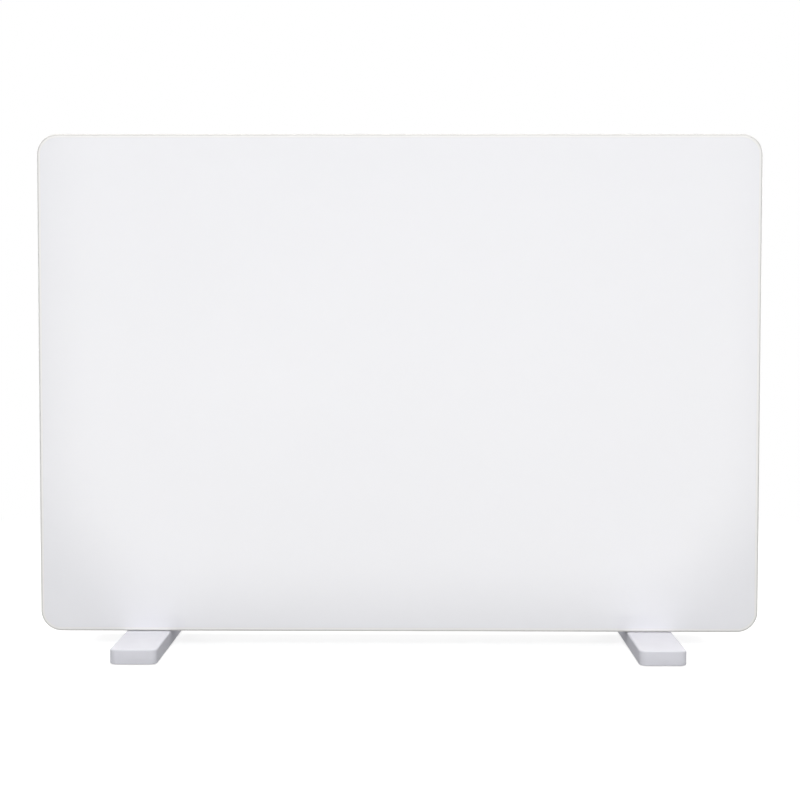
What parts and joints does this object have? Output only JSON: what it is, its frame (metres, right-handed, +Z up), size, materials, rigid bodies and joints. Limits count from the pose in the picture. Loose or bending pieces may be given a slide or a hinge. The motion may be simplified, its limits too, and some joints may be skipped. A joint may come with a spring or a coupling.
{
  "type": "glass panel heater",
  "caption": "Free-standing electric panel heater: a white glass front with rounded corners on two flat bar feet, a steel casing behind, a top outlet grille and side controls.",
  "frame": {"origin": "on the floor, midway between the two feet and midway along them", "axes": "+X to the right of someone facing the glass, +Y from the glass to the back, +Z up"},
  "size_m": [0.65, 0.236, 0.4629],
  "materials": {
    "glass_white": "clear toughened glass with white enamel fired on its back, polished edge",
    "bond_silicone": "matt silicone adhesive strip",
    "white_steel": "satin white powder coat",
    "white_plastic": "fine satin moulded white",
    "foot_plastic": "smooth satin white, slightly cool",
    "grey_plastic": "fine textured mid grey",
    "knob_plastic": "smooth white, semi gloss",
    "black_plastic": "smooth black",
    "bakelite": "moulded dark phenolic",
    "nylon": "natural nylon",
    "indicator_amber": "translucent amber lens",
    "pad_rubber": "matt dark rubber",
    "plated_steel": "bright zinc plate",
    "fin_aluminium": "mill finish",
    "bush_ceramic": "unglazed steatite",
    "pendulum_brass": "turned brass",
    "lead_brown": "silicone insulation",
    "lead_red": "silicone insulation",
    "lead_blue": "silicone insulation"
  },
  "bodies": {
    "root": {"glass_panel": "glass_white", "bond_strip_top": "bond_silicone", "bond_strip_bottom": "bond_silicone", "bond_strip_left": "bond_silicone", "bond_strip_right": "bond_silicone", "front_plate": "white_steel", "rear_casing": "white_steel", "outlet_grille": "white_plastic", "cord_gland": "white_plastic", "foot_left": "foot_plastic", "foot_right": "foot_plastic", "control_plate": "grey_plastic", "gland_nut": "grey_plastic", "low_heat_switch_frame": "black_plastic", "high_heat_switch_frame": "black_plastic", "thermal_cutout": "bakelite", "tip_microswitch": "bakelite", "thermostat_body": "bakelite", "tip_switch_frame": "nylon", "terminal_block": "nylon", "indicator_lens": "indicator_amber", "foot_pad_left_front": "pad_rubber", "foot_pad_left_back": "pad_rubber", "foot_pad_right_front": "pad_rubber", "foot_pad_right_back": "pad_rubber", "rim_screw_1": "plated_steel", "rim_screw_2": "plated_steel", "rim_screw_3": "plated_steel", "rim_screw_4": "plated_steel", "rim_screw_5": "plated_steel", "rim_screw_6": "plated_steel", "rim_screw_7": "plated_steel", "rim_screw_8": "plated_steel", "grille_screw_left": "plated_steel", "grille_screw_right": "plated_steel", "control_screw_upper": "plated_steel", "control_screw_lower": "plated_steel", "foot_screw_left_front": "plated_steel", "foot_screw_left_back": "plated_steel", "foot_screw_right_front": "plated_steel", "foot_screw_right_back": "plated_steel", "nut_plate_left": "plated_steel", "nut_plate_right": "plated_steel", "thermostat_nut": "plated_steel", "chamber_wall_left": "plated_steel", "chamber_wall_right": "plated_steel", "heat_shield": "plated_steel", "tip_switch_pin": "plated_steel", "heating_element": "fin_aluminium", "element_bush_left": "bush_ceramic", "element_bush_right": "bush_ceramic", "supply_lead": "lead_brown", "thermostat_lead": "lead_red", "element_lead": "lead_blue"},
    "thermostat_dial": {"thermostat_knob": "knob_plastic", "thermostat_shaft": "plated_steel"},
    "low_heat_button": {"low_heat_rocker": "black_plastic"},
    "high_heat_button": {"high_heat_rocker": "black_plastic"},
    "tip_pendulum": {"tip_switch_pendulum": "pendulum_brass"}
  },
  "joints": [
    {"name": "thermostat_turn", "type": "hinge", "parent": "root", "child": "thermostat_dial", "pos_m": [0.3, -0.0015, 0.3844], "axis": [-1, 0, 0], "range_deg": [0, 270]},
    {"name": "low_heat_press", "type": "hinge", "parent": "root", "child": "low_heat_button", "pos_m": [0.2906, -0.0015, 0.32719], "axis": [0, -1, 0], "range_deg": [0, 16]},
    {"name": "high_heat_press", "type": "hinge", "parent": "root", "child": "high_heat_button", "pos_m": [0.2906, -0.0015, 0.29496], "axis": [0, -1, 0], "range_deg": [0, 16]},
    {"name": "tip_swing", "type": "hinge", "parent": "root", "child": "tip_pendulum", "pos_m": [0.2188, -0.0015, 0.2023], "axis": [1, 0, 0], "range_deg": [-25, 25]}
  ]
}
